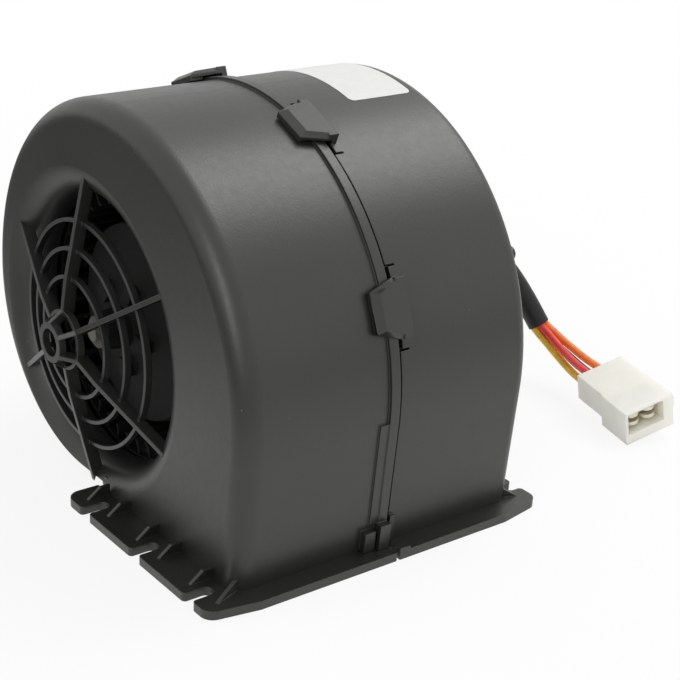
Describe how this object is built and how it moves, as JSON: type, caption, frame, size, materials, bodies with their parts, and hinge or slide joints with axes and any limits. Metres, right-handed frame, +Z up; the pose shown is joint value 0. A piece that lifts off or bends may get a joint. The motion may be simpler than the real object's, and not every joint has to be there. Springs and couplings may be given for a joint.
{
  "type": "centrifugal blower",
  "caption": "Twin-inlet centrifugal blower: moulded scroll casing in two halves, domed inlet guard, motor inside the wheel, flanged outlet facing down and a wired connector.",
  "frame": {"origin": "on the plane of the outlet flange, straight below the middle of the wheel axis", "axes": "+X along the wheel axis towards the motor side, +Z up away from the outlet, -Y towards the outlet's front wall"},
  "size_m": [0.2276, 0.17, 0.1406],
  "materials": {
    "casing_plastic": "satin moulded, charcoal",
    "wheel_plastic": "satin moulded, black",
    "end_cap_plastic": "satin moulded, black",
    "black_rubber": "dull",
    "spring_steel": "bright",
    "shaft_steel": "ground",
    "can_steel": "zinc plated",
    "screw_steel": "zinc plated",
    "sintered_bronze": "dull, oil filled",
    "ferrite": "ground",
    "core_steel": "stamped laminations",
    "winding_copper": "enamelled copper",
    "brown_laminate": "paper laminate",
    "carbon": "graphite",
    "fuse_body": "dull",
    "sleeve_vinyl": "soft, satin",
    "lead_orange": "extruded",
    "lead_black": "extruded",
    "lead_red": "extruded",
    "lead_yellow": "extruded",
    "natural_nylon": "translucent moulded",
    "terminal_brass": "tinned"
  },
  "bodies": {
    "housing": {"inlet_casing": "casing_plastic", "inlet_guard": "casing_plastic", "inlet_flange": "casing_plastic", "motor_casing": "casing_plastic", "motor_flange": "casing_plastic", "motor_carrier": "casing_plastic", "damper_ring": "black_rubber", "motor_can": "can_steel", "motor_end_cap": "end_cap_plastic", "motor_screws": "screw_steel", "front_bearing": "sintered_bronze", "rear_bearing": "sintered_bronze", "magnets": "ferrite", "brush_plate": "brown_laminate", "brushes": "carbon", "brush_springs": "spring_steel", "resistor_board": "brown_laminate", "resistor_coils": "spring_steel", "thermal_fuse": "fuse_body", "cable_grommet": "black_rubber", "harness_sleeve": "sleeve_vinyl", "wire_orange": "lead_orange", "wire_black": "lead_black", "wire_red": "lead_red", "wire_yellow": "lead_yellow", "connector_housing": "natural_nylon", "tab_terminals": "terminal_brass"},
    "rotor": {"impeller": "wheel_plastic", "wheel_clip": "spring_steel", "motor_shaft": "shaft_steel", "armature_core": "core_steel", "armature_windings": "winding_copper", "commutator": "winding_copper"}
  },
  "joints": [
    {"name": "wheel_spin", "type": "hinge", "parent": "housing", "child": "rotor", "pos_m": [0, 0, 0.0575], "axis": [1, 0, 0], "continuous": true}
  ]
}
